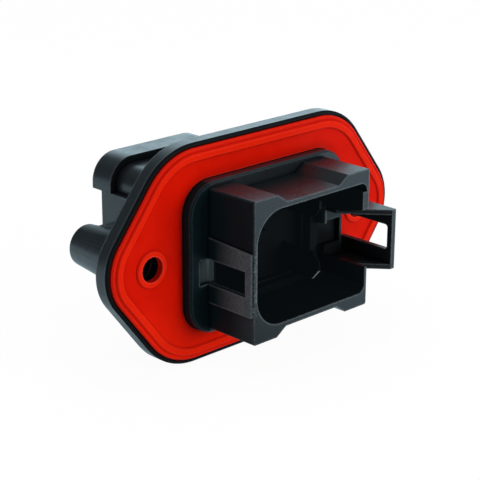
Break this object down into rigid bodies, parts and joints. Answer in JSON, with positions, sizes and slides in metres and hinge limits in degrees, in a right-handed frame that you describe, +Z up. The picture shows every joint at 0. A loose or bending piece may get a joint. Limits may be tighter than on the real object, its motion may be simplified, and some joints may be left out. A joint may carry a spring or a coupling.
{
  "type": "sealed panel power connector",
  "caption": "Black flange-mount receptacle with a rectangular blade shroud, side latch window, latch bridge and red flange gasket, held by screws in blind bosses.",
  "frame": {"origin": "middle of the flange's front face, on the line between the two screw axes", "axes": "+X along the flange from screw to screw, -Y out of the mating face, +Z up across the flange"},
  "size_m": [0.0846, 0.0521, 0.0482],
  "materials": {
    "housing_plastic": "semi-matt moulded, lightly scuffed on edges",
    "gasket_silicone": "satin red silicone",
    "insert_brass": "machined",
    "terminal_plating": "tin plated, satin",
    "lock_plastic": "semi-matt moulded",
    "grommet_silicone": "satin red silicone",
    "cap_plastic": "semi-matt moulded"
  },
  "bodies": {
    "root": {"housing": "housing_plastic", "flange_gasket": "gasket_silicone", "screw_insert_left": "insert_brass", "screw_insert_right": "insert_brass", "blade_terminal_1": "terminal_plating", "blade_terminal_2": "terminal_plating", "blade_terminal_3": "terminal_plating", "blade_terminal_4": "terminal_plating", "terminal_lock": "lock_plastic", "wire_grommet": "grommet_silicone", "grommet_cap": "cap_plastic"}
  },
  "joints": []
}
